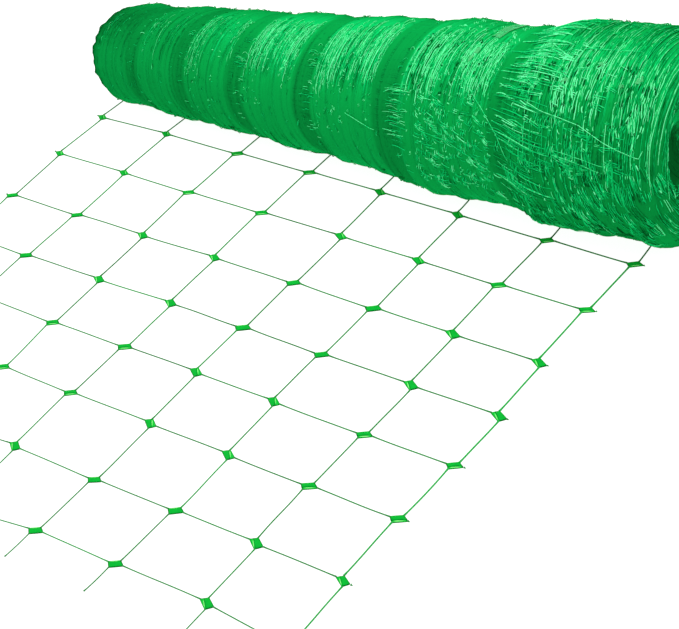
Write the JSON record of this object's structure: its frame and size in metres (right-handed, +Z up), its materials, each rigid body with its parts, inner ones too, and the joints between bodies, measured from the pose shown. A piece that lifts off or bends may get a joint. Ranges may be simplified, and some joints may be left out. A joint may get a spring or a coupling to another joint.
{
  "type": "roll of trellis netting",
  "caption": "Roll of green plastic trellis netting, wound loosely in bulging rings, with its knotted square-mesh end drawn out flat in front of it.",
  "frame": {"origin": "on the floor, under the middle of the bounding box of the roll and its loose end", "axes": "+X along the roll from its small end to its large end, +Y from the loose end towards the roll, +Z up"},
  "size_m": [1.422, 1.3706, 0.3584],
  "materials": {
    "wound_plastic": "glossy green strands wound in dense layers, slightly see-through, darker in the waists between the rings",
    "net_plastic": "thin stretched green strands with brighter glossy knots"
  },
  "bodies": {
    "root": {"wound_roll": "wound_plastic", "loose_net": "net_plastic"}
  },
  "joints": []
}
